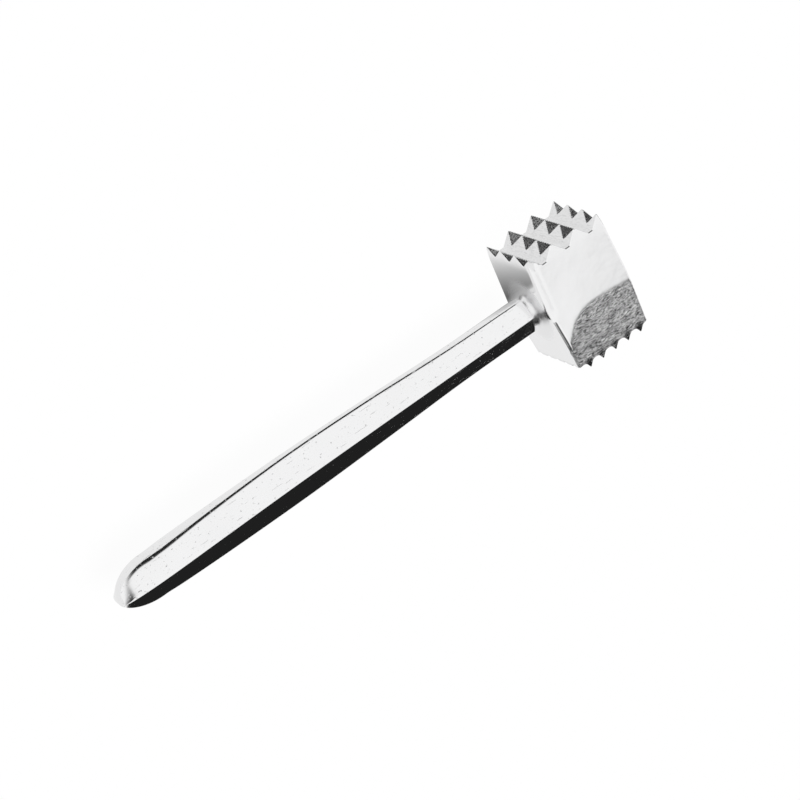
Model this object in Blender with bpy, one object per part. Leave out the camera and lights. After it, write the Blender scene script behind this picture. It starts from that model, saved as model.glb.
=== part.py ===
"""A cast aluminium meat mallet with a toothed block head, lying on one side of the head.

Three pieces: the head with its neck, the six-sided handle, and the steel stud that joins them.

The pieces are drawn in the mallet's own axes, whose origin is the middle of the head's waist:
+X runs from the butt of the handle to the far end of the head, +Y to the coarse teeth, +Z up.
An empty carries them all, so that the mallet stands on z = 0 with its box centred in x and y.
"""

import math

import bmesh
import bpy
from mathutils import Vector

MM = 0.001

# Head: a block that is widest at its waist (y = 0) and tapers to both toothed faces. Each level
# holds the height y, the reach towards the handle, the reach away from it, and the half width.
COARSE_TIP_Y = 28.1 * MM
FINE_ROOT_Y = -25.7 * MM
FINE_DEPTH = 3.2 * MM
FINE_TIP_Y = FINE_ROOT_Y - FINE_DEPTH
WAIST_HALF_LENGTH = 19.9 * MM
WAIST_HALF_WIDTH = 18.9 * MM
HEAD_LEVELS = (
    (FINE_TIP_Y, 17.7 * MM, 19.0 * MM, 17.15 * MM),
    (FINE_ROOT_Y, 17.8 * MM, 19.1 * MM, 18.35 * MM),
    (0.0, WAIST_HALF_LENGTH, WAIST_HALF_LENGTH, WAIST_HALF_WIDTH),
    (23.0 * MM, 19.2 * MM, 19.2 * MM, 17.7 * MM),
    (COARSE_TIP_Y, 18.45 * MM, 18.45 * MM, 17.4 * MM),
)
CORNER_RADIUS = 0.8 * MM
CORNER_SEGMENTS = 2

# Coarse face: four rows of four teeth between straight V-shaped grooves. The rows at both ends and
# the teeth at both ends of each row are half teeth, cut by the sides of the block.
COARSE_ROWS = 4
COARSE_ROW_PITCH = 12.3 * MM
COARSE_TOOTH_PITCH = 11.6 * MM
ROW_GROOVE_DEPTH = 5.15 * MM
ROW_GROOVE_FLOOR = 2.2 * MM
NOTCH_DEPTH = 3.95 * MM
NOTCH_FLOOR = 0.4 * MM
COARSE_TIP_LAND = 0.3 * MM

# Fine face: teeth between round-bottomed grooves, five along the mallet and six across it. The
# grooves across the mallet are set a little away from the handle.
FINE_TEETH_LONG = 5
FINE_TEETH_WIDE = 6
FINE_PITCH = 6.8 * MM
FINE_SHIFT_X = 1.3 * MM
FINE_GROOVE_RADIUS = 2.6 * MM
FINE_TIP_LAND = 0.3 * MM
FINE_ARC_STEPS = 6

# Neck: the short boss on the head's near face that the handle is screwed up against.
NECK_END_X = -21.7 * MM
NECK_HALF_HEIGHT = 7.3 * MM
NECK_HALF_WIDTH = 6.6 * MM
NECK_HALF_FLAT = 2.6 * MM
NECK_FLARE = 4.0 * MM
NECK_FLARE_STEPS = 6
NECK_ROOT_X = -16.0 * MM

# Handle: six flat sides, two of them level with the toothed faces. Each station holds the distance
# from the head's middle, the half height, the half width and half the width of the level sides.
HANDLE_STATIONS = (
    (25.0 * MM, 8.0 * MM, 7.5 * MM, 2.6 * MM),
    (60.0 * MM, 8.4 * MM, 7.9 * MM, 2.2 * MM),
    (100.0 * MM, 10.0 * MM, 8.1 * MM, 1.6 * MM),
    (140.0 * MM, 10.9 * MM, 8.6 * MM, 1.9 * MM),
    (180.0 * MM, 10.6 * MM, 9.9 * MM, 3.0 * MM),
    (205.0 * MM, 9.9 * MM, 10.9 * MM, 4.0 * MM),
    (213.0 * MM, 9.7 * MM, 11.05 * MM, 3.65 * MM),
)
HANDLE_END_X = -22.0 * MM
STATION_STEP = 10.0 * MM

# Butt: the handle's end closes in on a point off its middle, near the edge on the +Z side. The
# powers say how fast its height, its width and its level sides shrink.
BUTT_X = -232.6 * MM
BUTT_STEPS = 6
BUTT_LAST_ANGLE = math.radians(80.0)
BUTT_HEIGHT_POWER = 1.2
BUTT_WIDTH_POWER = 0.5
BUTT_FLAT_POWER = 0.3
BUTT_POINT_SHARE = 0.67

# Stud: an M8 threaded steel stud, with a tapped blind hole for it in each casting.
STUD_DIAMETER = 7.4 * MM
STUD_CHAMFER = 0.8 * MM
STUD_HEAD_END_X = -7.0 * MM
STUD_HANDLE_END_X = -47.0 * MM
HOLE_DIAMETER = 8.0 * MM
HOLE_SPARE_DEPTH = 1.5 * MM
DRILL_POINT = 2.3 * MM
ROUND_STEPS = 32
SMOOTH_ANGLE = 30.0

# Finishes.
HEAD_COLOUR, HEAD_ROUGHNESS = (0.83, 0.83, 0.83), 0.22
HANDLE_COLOUR, HANDLE_ROUGHNESS = (0.86, 0.86, 0.86), 0.12
STUD_COLOUR, STUD_ROUGHNESS = (0.6, 0.6, 0.62), 0.35

CUTTER_OVERSHOOT = 2.0 * MM
TIP_OVERSHOOT = 0.1 * MM
MERGE_DISTANCE = 0.01 * MM


def clear_scene():
    """Empty the scene of everything that a new file starts with."""
    for thing in list(bpy.data.objects):
        bpy.data.objects.remove(thing, do_unlink=True)


def metal(name, colour, roughness):
    """A metallic material of one colour."""
    material = bpy.data.materials.new(name)
    material.use_nodes = True
    shader = material.node_tree.nodes["Principled BSDF"]
    shader.inputs["Base Color"].default_value = (*colour, 1.0)
    shader.inputs["Metallic"].default_value = 1.0
    shader.inputs["Roughness"].default_value = roughness
    return material


def make_object(name, shape, parent, material=None):
    """Turn a bmesh into a named object under the mallet's frame."""
    bmesh.ops.recalc_face_normals(shape, faces=shape.faces)
    mesh = bpy.data.meshes.new(name)
    shape.to_mesh(mesh)
    shape.free()
    if material:
        mesh.materials.append(material)
    thing = bpy.data.objects.new(name, mesh)
    thing.parent = parent
    bpy.context.scene.collection.objects.link(thing)
    return thing


def loft(rings):
    """A closed solid through rings of points that all have the same count."""
    shape = bmesh.new()
    loops = [[shape.verts.new(point) for point in ring] for ring in rings]
    count = len(loops[0])
    for before, after in zip(loops, loops[1:]):
        for i in range(count):
            j = (i + 1) % count
            shape.faces.new((before[i], before[j], after[j], after[i]))
    shape.faces.new(loops[0])
    shape.faces.new(list(reversed(loops[-1])))
    return shape


def turned(profile):
    """A solid turned about the mallet's X axis from (x, radius) pairs; its ends lie on the axis."""
    shape = bmesh.new()
    points = [shape.verts.new((x, radius, 0.0)) for x, radius in profile]
    edges = [shape.edges.new(pair) for pair in zip(points, points[1:])]
    bmesh.ops.spin(shape, geom=points + edges, cent=(0, 0, 0), axis=(1, 0, 0),
                   angle=math.tau, steps=ROUND_STEPS, use_merge=True)
    bmesh.ops.remove_doubles(shape, verts=shape.verts, dist=MERGE_DISTANCE)
    return shape


def shade_round(thing, angle):
    """Smooth shading, broken at edges sharper than the angle in degrees."""
    thing.data.shade_smooth()
    thing.data.set_sharp_from_angle(angle=math.radians(angle))


def boolean(thing, tool, operation):
    """Cut a tool from a piece, or join it on, with the exact solver."""
    step = thing.modifiers.new(f"{operation.lower()}_{tool.name}", "BOOLEAN")
    step.operation = operation
    step.object = tool
    step.solver = "EXACT"
    tool.hide_render = True
    tool.display_type = "WIRE"


def block():
    """The block between the tips of the two toothed faces, with its four long edges rounded."""
    rings = []
    for y, near, far, width in HEAD_LEVELS:
        rings.append([Vector((x, y, z)) for x, z in
                      ((-near, -width), (-near, width), (far, width), (far, -width))])
    shape = loft(rings)
    long_edges = [edge for edge in shape.edges
                  if abs(edge.verts[0].co.y - edge.verts[1].co.y) > MM]
    bmesh.ops.bevel(shape, geom=long_edges, offset=CORNER_RADIUS, segments=CORNER_SEGMENTS,
                    profile=0.5, affect="EDGES")
    return shape


def grooves(profile, centres, along, half_length):
    """Straight cutters: one profile of (offset, y) points swept along X or Z at each centre."""
    shape = bmesh.new()
    for centre in centres:
        rings = []
        for end in (-half_length, half_length):
            if along == "Z":
                rings.append([Vector((centre + u, y, end)) for u, y in profile])
            else:
                rings.append([Vector((end, y, centre + u)) for u, y in profile])
        piece = loft(rings)
        mesh = bpy.data.meshes.new("groove")
        piece.to_mesh(mesh)
        piece.free()
        shape.from_mesh(mesh)
        bpy.data.meshes.remove(mesh)
    return shape


def coarse_profile(pitch, depth, floor):
    """A flat-bottomed V that opens to just under the pitch at the tips of the coarse teeth."""
    top = (pitch - COARSE_TIP_LAND) / 2
    slope = (top - floor / 2) / depth
    wide = top + slope * TIP_OVERSHOOT
    over = COARSE_TIP_Y + TIP_OVERSHOOT
    root = COARSE_TIP_Y - depth
    return [(-wide, over), (-floor / 2, root), (floor / 2, root), (wide, over)]


def fine_profile():
    """A round-bottomed groove with straight flanks tangent to the round."""
    top = (FINE_PITCH - FINE_TIP_LAND) / 2
    rise = FINE_DEPTH - FINE_GROOVE_RADIUS
    reach = math.hypot(top, rise)
    lean = math.acos(FINE_GROOVE_RADIUS / reach) - math.atan2(rise, top)
    sweep = math.pi / 2 - lean
    centre_y = FINE_ROOT_Y - FINE_GROOVE_RADIUS
    arc = []
    for i in range(FINE_ARC_STEPS + 1):
        angle = -sweep + 2 * sweep * i / FINE_ARC_STEPS
        arc.append((FINE_GROOVE_RADIUS * math.sin(angle),
                    centre_y + FINE_GROOVE_RADIUS * math.cos(angle)))
    side_u, side_y = arc[-1]
    wide = top + (top - side_u) / (side_y - FINE_TIP_Y) * TIP_OVERSHOOT
    over = FINE_TIP_Y - TIP_OVERSHOOT
    return [(-wide, over)] + arc + [(wide, over)]


def neck():
    """The six-sided boss, flaring in a quarter ellipse into the near face of the head."""
    rings = []
    flare_length = -WAIST_HALF_LENGTH - NECK_END_X
    for i in range(NECK_FLARE_STEPS):
        angle = math.pi / 2 * i / NECK_FLARE_STEPS
        grow = NECK_FLARE * (1 - math.cos(angle))
        rings.append(hexagon(NECK_END_X + flare_length * math.sin(angle), NECK_HALF_HEIGHT + grow,
                             NECK_HALF_WIDTH + grow, NECK_HALF_FLAT + grow / 2))
    rings.append(hexagon(NECK_ROOT_X, NECK_HALF_HEIGHT + NECK_FLARE, NECK_HALF_WIDTH + NECK_FLARE,
                         NECK_HALF_FLAT + NECK_FLARE / 2))
    return loft(rings)


def hexagon(x, half_height, half_width, half_flat):
    """Six points across the mallet: level sides top and bottom in Y, corners out in Z."""
    corners = ((1, -half_flat), (1, half_flat), (0, half_width),
               (-1, half_flat), (-1, -half_flat), (0, -half_width))
    return [Vector((x, half_height * side, z)) for side, z in corners]


def handle_section(distance):
    """The handle's three half sizes at a distance from the head, along a smooth curve."""
    stations = HANDLE_STATIONS
    last = len(stations) - 2
    i = max(0, min(last, sum(1 for s in stations if s[0] <= distance) - 1))
    before, after = stations[max(i - 1, 0)], stations[min(i + 2, len(stations) - 1)]
    start, end = stations[i], stations[i + 1]
    span = end[0] - start[0]
    t = (distance - start[0]) / span
    sizes = []
    for k in (1, 2, 3):
        slope_in = (end[k] - before[k]) / (end[0] - before[0])
        slope_out = (after[k] - start[k]) / (after[0] - start[0])
        sizes.append((2 * t**3 - 3 * t**2 + 1) * start[k] + (t**3 - 2 * t**2 + t) * span * slope_in
                     + (3 * t**2 - 2 * t**3) * end[k] + (t**3 - t**2) * span * slope_out)
    return sizes


def handle_solid():
    """The handle from its shoulder at the neck to its rounded butt."""
    first, last = HANDLE_STATIONS[0][0], HANDLE_STATIONS[-1][0]
    rings = [hexagon(HANDLE_END_X, NECK_HALF_HEIGHT, NECK_HALF_WIDTH, NECK_HALF_FLAT)]
    steps = round((last - first) / STATION_STEP)
    for i in range(steps + 1):
        distance = first + (last - first) * i / steps
        rings.append(hexagon(-distance, *handle_section(distance)))
    height, width, flat = handle_section(last)
    nose = (-BUTT_X - last) / math.sin(BUTT_LAST_ANGLE)
    point_z = BUTT_POINT_SHARE * width
    for i in range(1, BUTT_STEPS + 1):
        angle = BUTT_LAST_ANGLE * i / BUTT_STEPS
        shrink = math.cos(angle)
        ring = hexagon(-last - nose * math.sin(angle), height * shrink**BUTT_HEIGHT_POWER,
                       width, flat * shrink**BUTT_FLAT_POWER)
        for corner in ring:
            corner.z = point_z + (corner.z - point_z) * shrink**BUTT_WIDTH_POWER
        rings.append(ring)
    return loft(rings)


def hole(open_x, deep_x):
    """A drilled blind hole with a pointed bottom, from just outside its mouth to its full depth."""
    radius = HOLE_DIAMETER / 2
    way = math.copysign(1.0, deep_x - open_x)
    mouth = open_x - way * CUTTER_OVERSHOOT
    point = deep_x + way * DRILL_POINT
    return turned([(mouth, 0.0), (mouth, radius), (deep_x, radius), (point, 0.0)])


def stud_solid():
    """The stud with a chamfer at each end."""
    radius = STUD_DIAMETER / 2
    return turned([
        (STUD_HANDLE_END_X, 0.0),
        (STUD_HANDLE_END_X, radius - STUD_CHAMFER),
        (STUD_HANDLE_END_X + STUD_CHAMFER, radius),
        (STUD_HEAD_END_X - STUD_CHAMFER, radius),
        (STUD_HEAD_END_X, radius - STUD_CHAMFER),
        (STUD_HEAD_END_X, 0.0),
    ])


def row_centres(count, pitch):
    """The middles of the grooves between so many rows of teeth."""
    return [(i - (count - 2) / 2) * pitch for i in range(count - 1)]


def build_head(frame):
    """The head: block and neck in one casting, with both sets of teeth and the tapped hole."""
    material = metal("cast_aluminium", HEAD_COLOUR, HEAD_ROUGHNESS)
    head = make_object("head", block(), frame, material)
    reach = WAIST_HALF_LENGTH + CUTTER_OVERSHOOT
    row_profile = coarse_profile(COARSE_ROW_PITCH, ROW_GROOVE_DEPTH, ROW_GROOVE_FLOOR)
    notch_profile = coarse_profile(COARSE_TOOTH_PITCH, NOTCH_DEPTH, NOTCH_FLOOR)
    rows = row_centres(COARSE_ROWS, COARSE_ROW_PITCH)
    notches = row_centres(COARSE_ROWS, COARSE_TOOTH_PITCH)
    long_centres = [FINE_SHIFT_X + x for x in row_centres(FINE_TEETH_LONG + 2, FINE_PITCH)]
    wide_centres = row_centres(FINE_TEETH_WIDE, FINE_PITCH)
    tools = (
        ("row_grooves", grooves(row_profile, rows, "Z", reach)),
        ("notches", grooves(notch_profile, notches, "X", reach)),
        ("fine_grooves_across", grooves(fine_profile(), long_centres, "Z", reach)),
        ("fine_grooves_along", grooves(fine_profile(), wide_centres, "X", reach)),
    )
    boolean(head, make_object("neck_boss", neck(), frame), "UNION")
    for name, shape in tools:
        boolean(head, make_object(name, shape, frame), "DIFFERENCE")
    bore = hole(NECK_END_X, STUD_HEAD_END_X + HOLE_SPARE_DEPTH)
    boolean(head, make_object("head_hole", bore, frame), "DIFFERENCE")
    return head


def build_handle(frame):
    """The handle with the tapped hole in its end."""
    material = metal("polished_aluminium", HANDLE_COLOUR, HANDLE_ROUGHNESS)
    handle = make_object("handle", handle_solid(), frame, material)
    bore = hole(HANDLE_END_X, STUD_HANDLE_END_X - HOLE_SPARE_DEPTH)
    boolean(handle, make_object("handle_hole", bore, frame), "DIFFERENCE")
    return handle


def build_stud(frame):
    """The steel stud."""
    material = metal("zinc_plated_steel", STUD_COLOUR, STUD_ROUGHNESS)
    stud = make_object("threaded_stud", stud_solid(), frame, material)
    shade_round(stud, SMOOTH_ANGLE)
    return stud


def build():
    """Make the mallet and set it down on z = 0."""
    clear_scene()
    frame = bpy.data.objects.new("mallet_frame", None)
    bpy.context.scene.collection.objects.link(frame)
    middle_x, middle_y = (BUTT_X + WAIST_HALF_LENGTH) / 2, (COARSE_TIP_Y + FINE_TIP_Y) / 2
    frame.location = (-middle_x, -middle_y, WAIST_HALF_WIDTH)
    build_head(frame)
    build_handle(frame)
    build_stud(frame)


build()
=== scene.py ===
"""Looks of a cast aluminium meat mallet that lies on its side on a pale floor.

The head and the handle are drawn again here as finer meshes with rounded edges, in the mallet's own
axes: origin at the middle of the head's waist, +X from the butt to the head, +Y to the coarse teeth,
+Z up. The steel stud inside keeps its CAD mesh.
"""

import math

import bpy
from mathutils import Euler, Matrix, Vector


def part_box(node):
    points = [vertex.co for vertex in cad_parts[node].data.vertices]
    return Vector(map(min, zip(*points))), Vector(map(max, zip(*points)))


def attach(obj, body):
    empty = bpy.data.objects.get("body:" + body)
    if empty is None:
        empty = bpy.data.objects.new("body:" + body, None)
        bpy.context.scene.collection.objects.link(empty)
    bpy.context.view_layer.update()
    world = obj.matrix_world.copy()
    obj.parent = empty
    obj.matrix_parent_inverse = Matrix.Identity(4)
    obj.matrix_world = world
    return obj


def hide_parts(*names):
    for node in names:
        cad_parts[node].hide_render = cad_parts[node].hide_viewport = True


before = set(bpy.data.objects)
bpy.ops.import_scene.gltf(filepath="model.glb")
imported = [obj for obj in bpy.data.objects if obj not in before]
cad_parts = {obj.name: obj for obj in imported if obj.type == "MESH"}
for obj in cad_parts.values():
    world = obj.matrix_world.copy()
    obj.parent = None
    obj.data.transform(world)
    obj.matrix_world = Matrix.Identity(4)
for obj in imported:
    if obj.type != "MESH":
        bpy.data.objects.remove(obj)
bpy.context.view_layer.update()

MM = 0.001

# Head, in mm. Each level holds the height y, the reach towards the handle, the reach away from it,
# and the half width, from the fine teeth to the coarse teeth.
COARSE_TIP_Y = 28.1
FINE_ROOT_Y = -25.7
FINE_TIP_Y = -28.9
WAIST_HALF_LENGTH = 19.9
WAIST_HALF_WIDTH = 18.9
HEAD_LEVELS = (
    (-28.9, 17.7, 19.0, 17.15),
    (-25.7, 17.8, 19.1, 18.35),
    (0.0, 19.9, 19.9, 18.9),
    (23.0, 19.2, 19.2, 17.7),
    (28.1, 18.45, 18.45, 17.4),
)
# The broad sides are widest along a line that curves down to the fine teeth on both ends:
# its highest y, then how fast it drops away from the handle and towards it.
RIDGE_Y = -3.0
RIDGE_FAR, RIDGE_FAR_POWER = 0.006, 2.0
RIDGE_NEAR, RIDGE_NEAR_POWER = 0.0062, 2.65
# Bevel round both toothed faces, the reach of a corner's rounding, and the distances from an edge at
# which the grid has close lines.
EDGE_CHAMFER = 0.3
CORNER_ZONE = 5.5
CORNER_STEPS = (0.12, 0.3, 0.55, 0.9, 1.4, 2.1, 3.0, 4.0, 5.0)
# Border of the coarse and of the fine face over which the grid bends to follow the drafted walls.
TOP_RAMP, FOOT_RAMP = 4.0, 1.2
# Radii of the upright edges: on the far end, and on the handle's side at +Z and at -Z. The last two
# grow by an amount that starts at a height and takes a distance.
FAR_CORNER = 1.2
UPPER_CORNER, UPPER_GROWTH, UPPER_FROM, UPPER_OVER = 1.5, 2.5, -1.5, 4.0
LOWER_CORNER, LOWER_GROWTH, LOWER_FROM, LOWER_OVER = 1.0, 2.4, -8.0, 14.0
# Heights of the rings of the walls, and the shares of the way at which more rings blend in from the
# coarse teeth and out to the fine teeth.
WALL_LEVELS = (20.0, 17.5, 15.0, 12.4, 10.0, 7.5, 5.0, 3.4, 2.2, 1.2, 0.3, -0.3, -1.2, -2.0, -3.0,
               -4.0, -5.0, -6.2, -7.5, -9.0, -10.7, -12.4, -14.0, -15.5, -17.5, -20.0, -22.0)
LOW_WALL_Y = -23.0
TOP_SHARES, LOW_SHARES = (0.0, 0.25, 0.5, 0.75), (0.0, 0.45, 1.0)

# Coarse teeth: V-shaped grooves along Z between the rows and smaller notches along X across them.
# Each has the half width at its top and on its floor, and its depth. The grid follows their sides in
# equal steps down.
ROW_GROOVES = (-12.3, 0.0, 12.3)
ROW_TOP, ROW_FLOOR, ROW_DEPTH = 6.0, 1.1, 5.15
NOTCHES = (-11.6, 0.0, 11.6)
NOTCH_TOP, NOTCH_FLOOR, NOTCH_DEPTH = 5.65, 0.2, 3.95
COARSE_LEVELS = 8

# Fine teeth: round-bottomed grooves both ways. Their sides turn straight a little inside the radius, and
# the grid has lines at these offsets from each groove's middle.
FINE_PITCH = 6.8
FINE_SHIFT_X = 1.3
FINE_ACROSS = tuple(FINE_SHIFT_X + FINE_PITCH * (i - 2.5) for i in range(6))
FINE_ALONG = tuple(FINE_PITCH * (i - 2) for i in range(5))
FINE_TOP, FINE_RADIUS = 3.25, 2.6
FINE_ROUND_REACH = FINE_RADIUS * 0.9
FINE_OFFSETS = (0.0, 0.6, 1.15, 1.65, 2.05, 2.35, 2.6, 2.95, 3.25)
# Grid lines closer than this are left out.
LINE_GAP = 0.06

# Sections of the neck and the handle hold the half height along Y, the half width along Z, the half
# width of the two sides that face +Y and -Y, and how crisp the edges of those sides and the edges at
# +Z and -Z are. A handle station has its distance from the origin in front.
NECK_END_X = -21.96
NECK = (7.3, 6.6, 2.6, 3.0, 4.0)
# The neck grows by the flare, and loses crispness, where it meets the wall. The wall's grid is open
# there within these half sizes; the first is one of the wall levels.
NECK_FLARE, NECK_FLARE_CRISPNESS = 4.5, 0.5
NECK_HOLE_Y, NECK_HOLE_Z = 12.4, 11.6
NECK_SHARES = (0.4, 0.8)
NECK_STEPS = 14
HANDLE_END_X = -22.0
STATIONS = (
    (25.0, 8.0, 7.5, 2.6, 24.0, 40.0),
    (60.0, 8.4, 7.9, 2.2, 20.0, 40.0),
    (100.0, 10.0, 8.1, 1.6, 17.0, 42.0),
    (140.0, 10.9, 8.6, 1.9, 15.0, 44.0),
    (180.0, 10.6, 9.9, 3.0, 11.5, 44.0),
    (205.0, 9.9, 10.9, 4.0, 9.5, 44.0),
    (213.0, 9.7, 11.05, 3.65, 9.0, 44.0),
)
# Butt: it closes in on a point off the middle, near the +Z edge. The powers say how fast each size
# shrinks towards the end.
BUTT_X = -232.6
BUTT_HEIGHT_POWER, BUTT_WIDTH_POWER, BUTT_FLAT_POWER = 1.2, 0.5, 0.3
BUTT_POINT_SHARE = 0.67
BUTT_CRISP, BUTT_SIDE_CRISP = 22.0, 30.0
BUTT_STEPS = 20
# Tapped holes for the stud: where the full width ends, and the point of the drill.
BORE_RADIUS = 4.0
HEAD_BORE_X, HEAD_BORE_TIP_X = -5.5, -3.2
HANDLE_BORE_X, HANDLE_BORE_TIP_X = -48.5, -50.8
# The rounded shoulder at the neck, and the spacing of the rings behind it.
SHOULDER, SHOULDER_STEPS = 0.8, 10
FIRST_RING, RING_SPACING = 1.5, 2.5
# Where the points of a section lie along each of its six sides.
OUTLINE_SHARES = (0.0, 0.03, 0.07, 0.12, 0.19, 0.3, 0.42, 0.58, 0.7, 0.81, 0.88, 0.93, 0.97)


def origin():
    """The mallet's own origin in the row frame, from the CAD head's box."""
    low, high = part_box("head")
    return Vector((high.x - WAIST_HALF_LENGTH * MM, high.y - COARSE_TIP_Y * MM, (low.z + high.z) / 2))


def between(table, key):
    """Straight-line values of a table at a key in its first column."""
    for low, high in zip(table, table[1:]):
        if key <= high[0]:
            break
    t = max(0.0, min(1.0, (key - low[0]) / (high[0] - low[0])))
    return [a + (b - a) * t for a, b in zip(low[1:], high[1:])]


def smooth(t):
    """An even rise from 0 to 1 that starts and ends level."""
    t = max(0.0, min(1.0, t))
    return t * t * (3 - 2 * t)


def make_mesh(name, verts, faces, place):
    """A mesh object from points in mm in the mallet's axes."""
    mesh = bpy.data.meshes.new(name)
    mesh.from_pydata([(x * MM, y * MM, z * MM) for x, y, z in verts], [], faces)
    mesh.validate()
    mesh.update()
    thing = bpy.data.objects.new(name, mesh)
    thing.location = place
    bpy.context.scene.collection.objects.link(thing)
    return thing


# ---------------------------------------------------------------- head

def corner_radius(side_x, side_z, y):
    """Radius of the head's upright edge on one corner at a height."""
    if side_x < 0 and side_z > 0:
        return UPPER_CORNER + UPPER_GROWTH * smooth((y - UPPER_FROM) / UPPER_OVER)
    if side_x < 0:
        return LOWER_CORNER + LOWER_GROWTH * smooth((LOWER_FROM - y) / LOWER_OVER)
    return FAR_CORNER


def ridge_height(x):
    """Height y of the widest line of the broad sides at x."""
    if x > 0:
        return RIDGE_Y - RIDGE_FAR * x**RIDGE_FAR_POWER
    return RIDGE_Y - RIDGE_NEAR * (-x)**RIDGE_NEAR_POWER


def half_sizes(x, y):
    """Half length on the side of x, and half width, of the head at a height."""
    near, far, width = between(HEAD_LEVELS, y)
    ridge = ridge_height(x)
    (_, _, _, foot), _, (top_y, _, _, top) = HEAD_LEVELS[1:4]
    if FINE_ROOT_Y < y < top_y:
        share = (y - ridge) / (top_y - ridge) if y > ridge else (ridge - y) / (ridge - FINE_ROOT_Y)
        width = WAIST_HALF_WIDTH + ((top if y > ridge else foot) - WAIST_HALF_WIDTH) * share
    return (near if x < 0 else far), width


def head_point(x, z, y, tip, ramp, inset):
    """Where a point of the cap's grid, given at the tips, goes on the head's section at a height."""
    length, width = (size - inset for size in half_sizes(x, y))
    cap_length, cap_width = (size - EDGE_CHAMFER for size in half_sizes(x, tip))
    px = abs(x) + (length - cap_length) * max(0.0, (abs(x) - cap_length + ramp) / ramp)
    pz = abs(z) + (width - cap_width) * max(0.0, (abs(z) - cap_width + ramp) / ramp)
    p = (px - length + CORNER_ZONE) / CORNER_ZONE
    q = (pz - width + CORNER_ZONE) / CORNER_ZONE
    if p > 0 and q > 0:
        share = (corner_radius(x, z, y) - inset) / CORNER_ZONE
        outer, near = max(p, q), min(p, q) / max(p, q)
        main = 1.0
        if near > 1 - share:
            angle = (near - 1 + share) / share * math.pi / 4
            main, near = 1 - share + share * math.cos(angle), 1 - share + share * math.sin(angle)
        p, q = (outer * main, outer * near) if p >= q else (outer * near, outer * main)
        px, pz = length - CORNER_ZONE + CORNER_ZONE * p, width - CORNER_ZONE + CORNER_ZONE * q
    return math.copysign(px, x), math.copysign(pz, z)


def vee(u, centres, top, floor, depth):
    """Depth of a flat-bottomed V groove at u."""
    reach = min(abs(u - c) for c in centres)
    return depth * max(0.0, min(1.0, (top - reach) / (top - floor)))


def scoop(u, centres):
    """Depth of a round-bottomed groove at u."""
    reach = min(abs(u - c) for c in centres)
    full = FINE_ROOT_Y - FINE_TIP_Y
    if reach >= FINE_TOP:
        return 0.0
    if reach > FINE_ROUND_REACH:
        edge = full - FINE_RADIUS + math.sqrt(FINE_RADIUS**2 - FINE_ROUND_REACH**2)
        return edge * (FINE_TOP - reach) / (FINE_TOP - FINE_ROUND_REACH)
    return full - FINE_RADIUS + math.sqrt(FINE_RADIUS**2 - reach**2)


def grid_lines(low, high, marks):
    """Sorted grid lines between two limits: the marks, and close lines at both ends."""
    kept = [low + step for step in (0.0, *CORNER_STEPS)] + [high - step for step in (0.0, *CORNER_STEPS)]
    for mark in sorted(marks):
        if low < mark < high and min(abs(mark - k) for k in kept) > LINE_GAP:
            kept.append(mark)
    return sorted(kept)


def coarse_marks(centres, top, floor, depth):
    """Grid lines for V grooves, at the same depths in the deep grooves as in the notches."""
    marks = []
    for centre in centres:
        marks.append(centre)
        for i in range(COARSE_LEVELS + 1):
            reach = top - (top - floor) * (NOTCH_DEPTH * i / COARSE_LEVELS) / depth
            marks += [centre - reach, centre + reach]
        marks += [centre - floor, centre + floor]
    return marks


def cap(verts, xs, zs, height, ramp, upward):
    """The grid of one toothed face. Returns its faces and its border as (index, x, z)."""
    tip = COARSE_TIP_Y if upward else FINE_TIP_Y
    first = len(verts)
    for x in xs:
        for z in zs:
            y = height(*head_point(x, z, tip, tip, ramp, EDGE_CHAMFER))
            px, pz = head_point(x, z, y, tip, ramp, EDGE_CHAMFER)
            verts.append((px, y, pz))
    count = len(zs)
    faces = []
    for i in range(len(xs) - 1):
        for j in range(count - 1):
            a = first + i * count + j
            b, c, d = a + 1, a + count + 1, a + count
            if abs(verts[a][1] - verts[c][1]) + 1e-9 < abs(verts[b][1] - verts[d][1]):
                pair = [(a, b, c), (a, c, d)]
            else:
                pair = [(a, b, d), (b, c, d)]
            flat = abs(verts[a][1] + verts[c][1] - verts[b][1] - verts[d][1]) < 1e-4
            quads = [(a, b, c, d)] if flat else pair
            faces += quads if upward else [tuple(reversed(f)) for f in quads]
    last = first + (len(xs) - 1) * count
    sides = [
        [(first + j, xs[0], zs[j]) for j in range(count)],
        [(first + i * count + count - 1, xs[i], zs[-1]) for i in range(len(xs))],
        [(last + j, xs[-1], zs[j]) for j in reversed(range(count))],
        [(first + i * count, xs[i], zs[0]) for i in reversed(range(len(xs)))],
    ]
    loop = [corner for side in sides for corner in side[:-1]]
    return faces, loop


def ring_at(verts, loop, tip, ramp, y_of):
    """One ring of the head's walls, under a cap's border."""
    ring = []
    for index, x, z in loop:
        y = y_of(verts[index][1])
        px, pz = head_point(x, z, y, tip, ramp, 0.0)
        ring.append(len(verts))
        verts.append((px, y, pz))
    return ring


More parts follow.
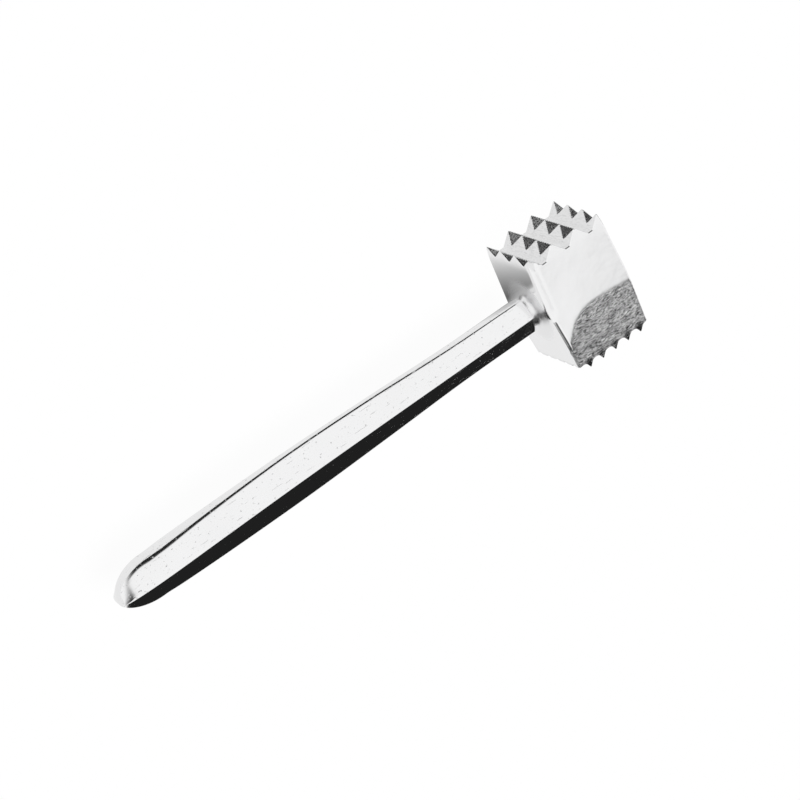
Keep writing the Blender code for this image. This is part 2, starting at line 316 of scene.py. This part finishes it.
def stitch(verts, upper, lower):
    """Triangles between two rings with different counts, both starting at the same corner."""
    def turns(ring):
        """How far round the head each vertex is, in turns, without a jump back to 0."""
        found, base = [], 0.0
        for index in ring:
            x, _, z = verts[index]
            angle = (math.atan2(z, -x) + math.pi) / math.tau
            if found and angle + base < found[-1] - 0.5:
                base += 1.0
            found.append(angle + base)
        return found

    up, low = turns(upper), turns(lower)
    start = min(up[0], low[0])
    up = [t - start for t in up] + [up[0] - start + 1.0]
    low = [t - start for t in low] + [low[0] - start + 1.0]
    faces, i, j = [], 0, 0
    while i < len(upper) or j < len(lower):
        a, b = upper[i % len(upper)], lower[j % len(lower)]
        if j == len(lower) or (i < len(upper) and up[i + 1] <= low[j + 1]):
            faces.append((a, b, upper[(i + 1) % len(upper)]))
            i += 1
        else:
            faces.append((a, b, lower[(j + 1) % len(lower)]))
            j += 1
    return faces


def outline_reach(angle, height, width, flat, crisp, side_crisp):
    """Distance from the axis to a six-sided outline with rounded corners, in a direction from +Z."""
    y, z = math.sin(angle), math.cos(angle)
    sides = 0.0
    for side_z in (-1, 1):
        for side_y in (-1, 1):
            lean = side_z * z * height + side_y * y * (width - flat)
            sides += (max(0.0, lean) / (width * height)) ** side_crisp
    return ((abs(y) / height) ** crisp + sides ** (crisp / side_crisp)) ** (-1 / crisp)


def head_mesh():
    """The head: two toothed caps, drafted walls, and a neck that flares out of the near face."""
    verts = []
    _, foot_near, foot_far, foot_width = HEAD_LEVELS[0]
    _, top_near, top_far, top_width = HEAD_LEVELS[-1]
    chamfer = EDGE_CHAMFER
    xs = grid_lines(chamfer - top_near, top_far - chamfer,
                    coarse_marks(ROW_GROOVES, ROW_TOP, ROW_FLOOR, ROW_DEPTH))
    zs = grid_lines(chamfer - top_width, top_width - chamfer,
                    coarse_marks(NOTCHES, NOTCH_TOP, NOTCH_FLOOR, NOTCH_DEPTH))
    faces, top_loop = cap(
        verts, xs, zs,
        lambda x, z: COARSE_TIP_Y - max(vee(x, ROW_GROOVES, ROW_TOP, ROW_FLOOR, ROW_DEPTH),
                                        vee(z, NOTCHES, NOTCH_TOP, NOTCH_FLOOR, NOTCH_DEPTH)),
        TOP_RAMP, True)
    offsets = sorted({s * o for o in FINE_OFFSETS for s in (-1, 1)})
    fine_xs = grid_lines(chamfer - foot_near, foot_far - chamfer,
                         [c + o for c in FINE_ACROSS for o in offsets])
    fine_zs = grid_lines(chamfer - foot_width, foot_width - chamfer,
                         [c + o for c in FINE_ALONG for o in offsets])
    foot_faces, foot_loop = cap(
        verts, fine_xs, fine_zs,
        lambda x, z: FINE_TIP_Y + max(scoop(x, FINE_ACROSS), scoop(z, FINE_ALONG)),
        FOOT_RAMP, False)
    faces += foot_faces

    rings = [[index for index, _, _ in top_loop]]
    for share in TOP_SHARES:
        rings.append(ring_at(verts, top_loop, COARSE_TIP_Y, TOP_RAMP,
                             lambda y: (y - chamfer) * (1 - share) + WALL_LEVELS[0] * share))
    for level in WALL_LEVELS:
        rings.append(ring_at(verts, top_loop, COARSE_TIP_Y, TOP_RAMP, lambda y: level))
    hole_top, hole_foot = (1 + len(TOP_SHARES) + WALL_LEVELS.index(y) for y in (NECK_HOLE_Y, -NECK_HOLE_Y))
    near = [k for k, (_, x, z) in enumerate(top_loop) if x == xs[0] and abs(z) < NECK_HOLE_Z + 0.001]
    count = len(top_loop)
    for row, (upper, lower) in enumerate(zip(rings, rings[1:])):
        for k in range(count):
            if hole_top <= row < hole_foot and near[0] <= k < near[-1]:
                continue
            n = (k + 1) % count
            faces.append((upper[k], lower[k], lower[n], upper[n]))
    low_rings = []
    for share in LOW_SHARES:
        low_rings.append(ring_at(verts, foot_loop, FINE_TIP_Y, FOOT_RAMP,
                                 lambda y: LOW_WALL_Y * (1 - share) + (y + chamfer) * share))
    low_rings.append([index for index, _, _ in foot_loop])
    faces += stitch(verts, rings[-1], low_rings[0])
    for upper, lower in zip(low_rings, low_rings[1:]):
        for k in range(len(foot_loop)):
            n = (k + 1) % len(foot_loop)
            faces.append((upper[k], lower[k], lower[n], upper[n]))

    border = [rings[hole_top][k] for k in near]
    border += [rings[r][near[-1]] for r in range(hole_top + 1, hole_foot)]
    border += [rings[hole_foot][k] for k in reversed(near)]
    border += [rings[r][near[0]] for r in range(hole_foot - 1, hole_top, -1)]
    faces += neck_faces(verts, border)
    return verts, faces


def neck_faces(verts, border):
    """The neck: from the hole in the near wall, down the flare to its end, and the tapped hole."""
    height, width, flat, *crisps = NECK
    angles = [math.atan2(verts[i][1], verts[i][2]) for i in border]
    flare = (height + NECK_FLARE, width + NECK_FLARE, flat + NECK_FLARE / 2,
             *(crisp * NECK_FLARE_CRISPNESS for crisp in crisps))
    rings = [list(border)]

    def add(points):
        """One more ring of the neck."""
        rings.append(list(range(len(verts), len(verts) + len(points))))
        verts.extend(points)

    def wall_x(y):
        """Where the near wall is at a height."""
        return -half_sizes(NECK_END_X, y)[0]

    outer = [outline_reach(a, *flare) for a in angles]
    for share in NECK_SHARES:
        points = []
        for index, angle, reach in zip(border, angles, outer):
            _, y, z = verts[index]
            far = math.hypot(y, z)
            r = far + (reach - far) * share
            y = r * math.sin(angle)
            points.append((wall_x(y), y, r * math.cos(angle)))
        add(points)
    for step in range(NECK_STEPS + 1):
        turn = math.pi / 2 * (1 - step / NECK_STEPS)
        points = []
        for angle, reach in zip(angles, outer):
            inner = outline_reach(angle, *NECK)
            r = inner + (reach - inner) * (1 - math.cos(turn))
            y = r * math.sin(angle)
            points.append((NECK_END_X + (wall_x(y) - NECK_END_X) * math.sin(turn), y, r * math.cos(angle)))
        add(points)
    for x in (NECK_END_X, HEAD_BORE_X):
        add([(x, BORE_RADIUS * math.sin(a), BORE_RADIUS * math.cos(a)) for a in angles])
    faces = []
    for before, after in zip(rings, rings[1:]):
        for k in range(len(border)):
            n = (k + 1) % len(border)
            faces.append((before[k], before[n], after[n], after[k]))
    tip = len(verts)
    verts.append((HEAD_BORE_TIP_X, 0.0, 0.0))
    for k in range(len(border)):
        faces.append((rings[-1][k], rings[-1][(k + 1) % len(border)], tip))
    return faces


# ---------------------------------------------------------------- handle

def section(distance):
    """The handle's sizes at a distance from the head, along a smooth curve through the stations."""
    last = len(STATIONS) - 2
    i = max(0, min(last, sum(1 for s in STATIONS if s[0] <= distance) - 1))
    before, after = STATIONS[max(i - 1, 0)], STATIONS[min(i + 2, len(STATIONS) - 1)]
    start, end = STATIONS[i], STATIONS[i + 1]
    span = end[0] - start[0]
    t = (distance - start[0]) / span
    sizes = []
    for k in range(1, len(start)):
        slope_in = (end[k] - before[k]) / (end[0] - before[0])
        slope_out = (after[k] - start[k]) / (after[0] - start[0])
        sizes.append((2 * t**3 - 3 * t**2 + 1) * start[k] + (t**3 - 2 * t**2 + t) * span * slope_in
                     + (3 * t**2 - 2 * t**3) * end[k] + (t**3 - t**2) * span * slope_out)
    return sizes


def outline(height, width, flat, crisp, side_crisp):
    """Points (y, z) round a six-sided section with rounded corners, closer together at the corners."""
    corners = ((height, -flat), (height, flat), (0.0, width),
               (-height, flat), (-height, -flat), (0.0, -width))
    points = []
    for k, (y0, z0) in enumerate(corners):
        y1, z1 = corners[(k + 1) % len(corners)]
        for share in OUTLINE_SHARES:
            y, z = y0 + (y1 - y0) * share, z0 + (z1 - z0) * share
            angle = math.atan2(y, z)
            reach = outline_reach(angle, height, width, flat, crisp, side_crisp)
            points.append((reach * math.sin(angle), reach * math.cos(angle)))
    return points


def handle_mesh():
    """The handle, from its rounded shoulder at the neck to its blunt butt."""
    first, last = STATIONS[0][0], STATIONS[-1][0]
    neck, body = outline(*NECK), outline(*section(first))
    rings = []
    for step in range(SHOULDER_STEPS + 1):
        share = step / SHOULDER_STEPS
        lift = math.sqrt(1 - (1 - share) ** 2)
        rings.append([(HANDLE_END_X - SHOULDER * share, ny + (by - ny) * lift, nz + (bz - nz) * lift)
                      for (ny, nz), (by, bz) in zip(neck, body)])
    distance = first + FIRST_RING
    while distance < last:
        rings.append([(-distance, y, z) for y, z in outline(*section(distance))])
        distance += RING_SPACING
    height, width, flat, crisp, side_crisp = section(last)
    nose, point_z = -BUTT_X - last, BUTT_POINT_SHARE * width
    for i in range(BUTT_STEPS):
        angle = math.pi / 2 * i / BUTT_STEPS
        shrink, way = math.cos(angle), math.sin(angle)
        ring = outline(height * shrink**BUTT_HEIGHT_POWER, width, flat * shrink**BUTT_FLAT_POWER,
                       crisp + (BUTT_CRISP - crisp) * way, side_crisp + (BUTT_SIDE_CRISP - side_crisp) * way)
        rings.append([(-last - nose * way, y, point_z + (z - point_z) * shrink**BUTT_WIDTH_POWER)
                      for y, z in ring])
    count = len(neck)
    verts = [point for ring in rings for point in ring]
    faces = []
    for r in range(len(rings) - 1):
        for k in range(count):
            n = (k + 1) % count
            a, b = r * count, (r + 1) * count
            faces.append((a + k, b + k, b + n, a + n))
    tip = len(verts)
    verts.append((BUTT_X, 0.0, point_z))
    base = (len(rings) - 1) * count
    for k in range(count):
        faces.append((base + k, tip, base + (k + 1) % count))
    angles = [math.atan2(y, z) for y, z in neck]
    inner = list(range(count))
    for x in (HANDLE_END_X, HANDLE_BORE_X):
        start = len(verts)
        verts += [(x, BORE_RADIUS * math.sin(a), BORE_RADIUS * math.cos(a)) for a in angles]
        ring = list(range(start, start + count))
        for k in range(count):
            n = (k + 1) % count
            faces.append((inner[k], inner[n], ring[n], ring[k]))
        inner = ring
    tip = len(verts)
    verts.append((HANDLE_BORE_TIP_X, 0.0, 0.0))
    for k in range(count):
        faces.append((inner[k], inner[(k + 1) % count], tip))
    return verts, faces


# ---------------------------------------------------------------- materials

# How light bare aluminium is, how much that wanders over it, and how blue it is beside the rest.
METAL_SHADE, METAL_SHADE_RANGE, METAL_BLUE = 0.86, 0.05, 1.004
# Where the head's finishes fade in, in m on the mallet's axes: the broad sides, the two toothed
# faces, the walls round them, and the rougher ring round the neck.
SIDE_FADE = (0.0165, 0.0175)
COARSE_FADE, FINE_FADE = (0.0215, 0.0235), (-0.0245, -0.0255)
WALL_FADE_Z, WALL_FADE_X = (0.0171, 0.0173), (0.0181, 0.0184)
NECK_FADE_X, NECK_FADE_REACH = (-0.0180, -0.0186), (0.0175, 0.0125)
# The brushed half fades in below the ridge, on a line that wanders by this much, in m.
BRUSHED_FADE, BRUSHED_WANDER = (0.0004, -0.0012), 0.002
# Roughness of the polish, and what the finishes add to it.
HANDLE_ROUGH, HANDLE_ROUGH_RANGE, PIT_ROUGH, HAIR_ROUGH = 0.07, 0.10, 0.3, 0.12
HEAD_ROUGH, HEAD_ROUGH_RANGE, NECK_ROUGH, BRUSHED_ROUGH = 0.10, 0.06, 0.24, 0.06
TOOTH_ROUGH, TOOTH_ROUGH_RANGE = -0.04, 0.22
# Depths of the surface textures, in m; a minus sign cuts in.
HANDLE_STREAK_DEPTH, HANDLE_CLOUD_DEPTH, HANDLE_PIT_DEPTH = 0.000006, 0.00008, -0.00003
HEAD_CLOUD_DEPTH, TOOTH_GRAIN_DEPTH, TOOTH_STROKE_DEPTH = 0.0001, 0.00005, 0.00011
BRUSHED_DEPTH, BRUSHED_CUT_DEPTH = 0.00013, -0.00012
STUD_RING_DEPTH = 0.0003


class Shader:
    """A node tree under construction. Values are sockets or numbers, and each step gives a socket."""

    def __init__(self, tree, clear=True):
        self.tree = tree
        if clear:
            tree.nodes.clear()

    def add(self, kind, inputs=None, **settings):
        """A node with these inputs, linked or set."""
        node = self.tree.nodes.new(kind)
        for name, value in settings.items():
            setattr(node, name, value)
        for name, value in (inputs or {}).items():
            socket = node.inputs[name]
            if isinstance(value, bpy.types.NodeSocket):
                self.tree.links.new(value, socket)
            else:
                socket.default_value = value
        return node

    def math(self, operation, *values, clamp=False):
        node = self.add("ShaderNodeMath", dict(enumerate(values)), operation=operation)
        node.use_clamp = clamp
        return node.outputs[0]

    def product(self, a, b):
        return self.math("MULTIPLY", a, b)

    def total(self, a, b):
        return self.math("ADD", a, b)

    def less(self, a, b):
        return self.math("SUBTRACT", a, b)

    def noise(self, vector, scale, detail=3.0, roughness=0.55):
        """Noise about 0.5, with this many features to the metre."""
        return self.add("ShaderNodeTexNoise", {"Vector": vector, "Scale": scale, "Detail": detail,
                                               "Roughness": roughness}).outputs["Fac"]

    def drawn_noise(self, vector, features, detail, roughness=0.55):
        """Noise with its own number of features to the metre along each axis."""
        stretched = self.add("ShaderNodeMapping", {"Vector": vector, "Scale": features}).outputs[0]
        return self.noise(stretched, 1.0, detail, roughness)

    def rise(self, value, low, high, to_low=0.0, to_high=1.0):
        """A smooth step between two values."""
        node = self.add("ShaderNodeMapRange", {"Value": value, "From Min": low, "From Max": high,
                                               "To Min": to_low, "To Max": to_high})
        node.interpolation_type = "SMOOTHSTEP"
        return node.outputs["Result"]

    def bump(self, height, distance, normal=None):
        inputs = {"Height": height, "Distance": distance, "Strength": 1.0}
        if normal is not None:
            inputs["Normal"] = normal
        return self.add("ShaderNodeBump", inputs).outputs[0]

    def parts(self, vector):
        """The x, y and z of a vector."""
        return self.add("ShaderNodeSeparateXYZ", {0: vector}).outputs

    def metal(self, shade, rough, normal, blue=METAL_BLUE):
        """Closes the tree with a grey metal."""
        colour = self.add("ShaderNodeCombineColor",
                          {"Red": shade, "Green": shade, "Blue": self.product(shade, blue)})
        shader = self.add("ShaderNodeBsdfPrincipled",
                          {"Base Color": colour.outputs[0], "Metallic": 1.0, "Roughness": rough,
                           "Normal": normal})
        self.add("ShaderNodeOutputMaterial", {"Surface": shader.outputs[0]})


def new_shader(name):
    """A material, its empty node tree, and the socket of the object's own coordinates."""
    material = bpy.data.materials.new(name)
    material.use_nodes = True
    s = Shader(material.node_tree)
    return material, s, s.add("ShaderNodeTexCoord").outputs["Object"]


def polished_aluminium():
    """The handle: bright polish with faint streaks, specks and hairline scratches."""
    material, s, spot = new_shader("polished_aluminium")
    streaks = s.drawn_noise(spot, (60, 900, 900), 4.0, 0.6)
    pits = s.rise(s.noise(spot, 900.0, 2.0, 0.5), 0.66, 0.74)
    hair = s.rise(s.drawn_noise(spot, (120, 2600, 2600), 1.0), 0.70, 0.78)
    cloud = s.noise(spot, 45.0, 3.0)
    shade = s.math("MULTIPLY_ADD", cloud, METAL_SHADE_RANGE, METAL_SHADE)
    shade = s.less(shade, s.product(pits, 0.25))
    rough = s.math("MULTIPLY_ADD", streaks, HANDLE_ROUGH_RANGE, HANDLE_ROUGH)
    rough = s.total(rough, s.product(pits, PIT_ROUGH))
    rough = s.total(rough, s.product(hair, HAIR_ROUGH))
    normal = s.bump(streaks, HANDLE_STREAK_DEPTH)
    normal = s.bump(cloud, HANDLE_CLOUD_DEPTH, normal)
    normal = s.bump(s.total(pits, hair), HANDLE_PIT_DEPTH, normal)
    s.metal(shade, rough, normal)
    return material


def above_ridge(s, x, y):
    """How far a point of the broad sides lies above their widest line, in m."""
    drops = []
    for unit, rate, power in ((MM, RIDGE_FAR, RIDGE_FAR_POWER), (-MM, RIDGE_NEAR, RIDGE_NEAR_POWER)):
        reach = s.math("MAXIMUM", s.math("DIVIDE", x, unit), 0.0)
        drops.append(s.product(s.math("POWER", reach, power), rate * MM))
    return s.total(s.less(y, RIDGE_Y * MM), s.total(*drops))


def head_finishes(s, spot):
    """How much of a point of the head is toothed, brushed, and round the neck, each from 0 to 1."""
    x, y, z = s.parts(spot)
    across, along = s.math("ABSOLUTE", z), s.math("ABSOLUTE", x)
    teeth = s.math("MAXIMUM", s.rise(y, *COARSE_FADE), s.rise(y, *FINE_FADE))
    walls = s.math("MAXIMUM", s.rise(across, *WALL_FADE_Z), s.rise(along, *WALL_FADE_X))
    teeth = s.product(teeth, s.less(1.0, walls))
    reach = s.math("SQRT", s.total(s.product(y, y), s.product(z, z)))
    neck = s.product(s.rise(x, *NECK_FADE_X), s.rise(reach, *NECK_FADE_REACH))
    wander = s.less(s.noise(spot, 160.0, 4.0), 0.5)
    line = s.math("MULTIPLY_ADD", wander, BRUSHED_WANDER, above_ridge(s, x, y))
    brushed = s.product(s.rise(line, *BRUSHED_FADE), s.rise(across, *SIDE_FADE))
    return teeth, s.product(brushed, s.less(1.0, teeth)), neck


def cast_aluminium():
    """The head: polished on the sides, brushed on the fine half, duller and grainy on the teeth."""
    material, s, spot = new_shader("cast_aluminium")
    teeth, brushed, neck = head_finishes(s, spot)
    lines = s.drawn_noise(spot, (620, 2300, 2300), 4.0, 0.7)
    strokes = s.drawn_noise(spot, (2400, 300, 300), 3.0, 0.6)
    patches = s.drawn_noise(spot, (130, 330, 330), 3.0, 0.6)
    cuts = s.rise(s.drawn_noise(spot, (130, 1700, 1700), 1.0), 0.62, 0.69)
    grain = s.noise(spot, 1400.0, 3.0, 0.6)
    cloud = s.noise(spot, 60.0, 3.0)
    shade = s.math("MULTIPLY_ADD", cloud, METAL_SHADE_RANGE, METAL_SHADE)
    shade = s.less(shade, s.product(teeth, s.product(grain, 0.12)))
    shade = s.less(shade, s.product(teeth, s.rise(strokes, 0.5, 0.62, 0.0, 0.08)))
    scuffs = s.total(s.rise(lines, 0.49, 0.60, -0.12, 0.72), s.rise(patches, 0.42, 0.64, 0.0, 0.22))
    shade = s.less(shade, s.product(brushed, scuffs))
    shade = s.math("ADD", shade, s.product(s.product(brushed, cuts), 0.3), clamp=True)
    rough = s.math("MULTIPLY_ADD", cloud, HEAD_ROUGH_RANGE, HEAD_ROUGH)
    rough = s.total(rough, s.product(teeth, s.math("MULTIPLY_ADD", strokes, TOOTH_ROUGH_RANGE, TOOTH_ROUGH)))
    rough = s.total(rough, s.product(brushed, s.product(lines, BRUSHED_ROUGH)))
    rough = s.total(rough, s.product(neck, NECK_ROUGH))
    normal = s.bump(cloud, HEAD_CLOUD_DEPTH)
    textures = (
        (grain, teeth, TOOTH_GRAIN_DEPTH),
        (s.less(strokes, 0.5), teeth, TOOTH_STROKE_DEPTH),
        (s.less(lines, 0.5), brushed, BRUSHED_DEPTH),
        (cuts, brushed, BRUSHED_CUT_DEPTH),
    )
    for height, where, depth in textures:
        normal = s.bump(s.product(height, where), depth, normal)
    s.metal(shade, rough, normal)
    return material


def plated_steel():
    """The hidden stud: zinc plate with thread-like rings and a little dirt."""
    material, s, spot = new_shader("plated_steel")
    rings = s.add("ShaderNodeTexWave", {"Vector": spot, "Scale": 250.0, "Distortion": 0.4}, wave_type="BANDS")
    dirt = s.noise(spot, 500.0, 4.0)
    s.metal(s.math("MULTIPLY_ADD", dirt, 0.25, 0.4), s.math("MULTIPLY_ADD", dirt, 0.3, 0.25),
            s.bump(rings.outputs["Fac"], STUD_RING_DEPTH), 1.03)
    return material


# ---------------------------------------------------------------- stage

# The plain floor: how far it reaches each way in m, how pale it is, and how much it glows.
FLOOR_REACH, FLOOR_ALBEDO, FLOOR_GLOW = 3.0, 0.03, 0.96
# The floor that only reflections see, which glows with a painted shade: its corners and how far it lies above
# the plain one, in m.
NEAR_FLOOR_CORNERS = ((-0.3, 0.007), (0.3, -0.085), (0.3, 0.3), (-0.3, 0.3))
NEAR_FLOOR_LIFT = 0.00002
# The painted shade it glows with beside the neck: where it is deepest, in mm, its lightness there and at
# most, and how the lightness rises per m away from there, towards +Y, -Y and the butt.
SHADE_X, SHADE_Y = -21.0, 2.0
SHADE_DEEPEST, SHADE_LIGHTEST, SHADE_GAMMA = 0.39, 0.95, 2.2
SHADE_NEAR_RISE, SHADE_FAR_RISE, SHADE_ALONG_RISE = 26.0, 90.0, 13.7

# The two dark panels of the studio. For a direction of length 1, these say where each fades in: by how
# far it points towards +Y over the floor (from -1 to 1), by its height, and by its X.
FRONT_TOWARD, FRONT_TOP, FRONT_FOOT, FRONT_X = (0.6, 0.8), (0.5, 0.4), (-0.3, -0.2), (-0.45, -0.05)
BACK_TOWARD, BACK_TOP, BACK_FOOT = (-0.46, -0.54), (0.87, 0.81), (-0.75, -0.65)
# The back panel narrows at these heights, by this much.
BACK_NARROWS_AT, BACK_NARROWS_BY = (0.68, 0.80), 0.16
PANEL_DARKNESS = 0.985
# How much less light the studio sends to dull surfaces than to shiny ones.
DULL_LOSS = 0.85

# The camera: its place from the mallet's origin in m, its turn in degrees, its lens in mm.
CAMERA_OFFSET = (-0.4514, 0.51989, 1.05023)
CAMERA_TURN = (-13.9113, -28.0991, -27.2959)
CAMERA_LENS, CAMERA_SENSOR = 135.0, 36.0


def floor_plane(name, corners, albedo, glow):
    """A level, faintly speckled sheet at floor height."""
    mesh = bpy.data.meshes.new(name)
    mesh.from_pydata([(x, y, 0) for x, y in corners], [], [(0, 1, 2, 3)])
    thing = bpy.data.objects.new(name, mesh)
    bpy.context.scene.collection.objects.link(thing)
    material, s, spot = new_shader(name)
    speckle = s.math("MULTIPLY_ADD", s.noise(spot, 300.0), 0.01, albedo)
    tone = s.add("ShaderNodeCombineColor", {"Red": speckle, "Green": speckle, "Blue": speckle})
    shader = s.add("ShaderNodeBsdfPrincipled",
                   {"Base Color": tone.outputs[0], "Roughness": 0.9, "Specular IOR Level": 0.0,
                    "Emission Color": (1, 1, 1, 1), "Emission Strength": glow})
    s.add("ShaderNodeOutputMaterial", {"Surface": shader.outputs[0]})
    mesh.materials.append(material)
    return thing


def paint_floor_shade(thing, place):
    """A painted shade of the mallet, glowing from the floor that reflections see, deepest beside the neck."""
    tree = thing.data.materials[0].node_tree
    s = Shader(tree, clear=False)
    x, y, _ = s.parts(s.add("ShaderNodeTexCoord").outputs["Object"])
    along = s.less(place.x + SHADE_X * MM, x)
    across = s.less(y, place.y + SHADE_Y * MM)
    level = s.math("MAXIMUM", s.product(across, SHADE_NEAR_RISE), s.product(across, -SHADE_FAR_RISE))
    level = s.total(level, s.product(s.math("MAXIMUM", along, 0.0), SHADE_ALONG_RISE))
    level = s.math("MINIMUM", s.total(level, SHADE_DEEPEST), SHADE_LIGHTEST)
    shader = next(node for node in tree.nodes if node.type == "BSDF_PRINCIPLED")
    tree.links.new(s.math("POWER", level, SHADE_GAMMA), shader.inputs["Emission Strength"])


def light_world():
    """A white studio, dark low down in front of the coarse teeth and behind the fine teeth."""
    world = bpy.data.worlds.new("studio")
    bpy.context.scene.world = world
    world.use_nodes = True
    s = Shader(world.node_tree)
    x, y, z = s.parts(s.add("ShaderNodeTexCoord").outputs["Generated"])
    flat = s.math("SQRT", s.total(s.product(x, x), s.product(y, y)))
    toward = s.math("DIVIDE", y, s.math("MAXIMUM", flat, 0.001))
    front = s.product(s.rise(toward, *FRONT_TOWARD), s.product(s.rise(z, *FRONT_TOP), s.rise(z, *FRONT_FOOT)))
    front = s.product(front, s.rise(x, *FRONT_X))
    aside = s.total(toward, s.rise(z, *BACK_NARROWS_AT, 0.0, BACK_NARROWS_BY))
    back = s.product(s.rise(aside, *BACK_TOWARD), s.product(s.rise(z, *BACK_TOP), s.rise(z, *BACK_FOOT)))
    light = s.math("MULTIPLY_ADD", s.math("MAXIMUM", front, back), -PANEL_DARKNESS, 1.0)
    path = s.add("ShaderNodeLightPath")
    light = s.product(light, s.less(1.0, s.product(path.outputs["Is Diffuse Ray"], DULL_LOSS)))
    light = s.math("MAXIMUM", light, path.outputs["Is Camera Ray"])
    shader = s.add("ShaderNodeBackground", {"Color": (1, 1, 1, 1), "Strength": light})
    s.add("ShaderNodeOutputWorld", {"Surface": shader.outputs[0]})


def add_camera(place):
    """The camera, above the butt's side of the head and in front of the coarse teeth."""
    data = bpy.data.cameras.new("camera")
    data.lens, data.sensor_width = CAMERA_LENS, CAMERA_SENSOR
    camera = bpy.data.objects.new("camera", data)
    camera.location = place + Vector(CAMERA_OFFSET)
    camera.rotation_euler = Euler([math.radians(a) for a in CAMERA_TURN])
    bpy.context.scene.collection.objects.link(camera)
    bpy.context.scene.camera = camera


def add_lamp(name, energy, angle, tilt, shades=()):
    """A broad soft light from high up, tilted towards the fine teeth. Metal does not reflect it.

    Where shades are given, only they throw shadows from it.
    """
    data = bpy.data.lights.new(name, "SUN")
    data.energy, data.angle = energy, math.radians(angle)
    lamp = bpy.data.objects.new(name, data)
    lamp.rotation_euler = Euler((math.radians(tilt), 0.0, 0.0))
    lamp.visible_glossy = False
    if shades:
        blockers = bpy.data.collections.new(f"{name}_shades")
        for thing in shades:
            blockers.objects.link(thing)
        lamp.light_linking.blocker_collection = blockers
    bpy.context.scene.collection.objects.link(lamp)


# ---------------------------------------------------------------- build

# Faces that meet at more than this many degrees keep a sharp edge.
HEAD_SHARP, HANDLE_SHARP = 24.0, 35.0

place = origin()
head = make_mesh("head_casting", *head_mesh(), place)
handle = make_mesh("handle_casting", *handle_mesh(), place)
for thing, sharp, material in ((head, HEAD_SHARP, cast_aluminium()),
                               (handle, HANDLE_SHARP, polished_aluminium())):
    thing.data.shade_smooth()
    thing.data.set_sharp_from_angle(angle=math.radians(sharp))
    thing.data.materials.append(material)
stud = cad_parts["threaded_stud"]
stud.data.materials.clear()
stud.data.materials.append(plated_steel())

for thing, node, slot in ((head, "head", "head_aluminium"), (handle, "handle", "handle_aluminium")):
    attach(thing, "root")
    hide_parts(node)

floor_corners = [(x * FLOOR_REACH, y * FLOOR_REACH) for x, y in ((-1, -1), (1, -1), (1, 1), (-1, 1))]
floor = floor_plane("floor", floor_corners, FLOOR_ALBEDO, FLOOR_GLOW)
floor.visible_glossy = False
# The near floor glows with a painted shade of the mallet, seen only in reflections.
near_floor = floor_plane("near_floor", NEAR_FLOOR_CORNERS, 0.0, 1.0)
paint_floor_shade(near_floor, place)
near_floor.location.z = NEAR_FLOOR_LIFT
near_floor.visible_camera = False
near_floor.visible_diffuse = False
near_floor.visible_shadow = False
light_world()
add_lamp("soft_key", energy=2.0, angle=35.0, tilt=17.0, shades=(handle,))
add_lamp("soft_fill", energy=1.4, angle=50.0, tilt=10.0)
add_camera(place)
bpy.context.scene.view_settings.view_transform = "Standard"
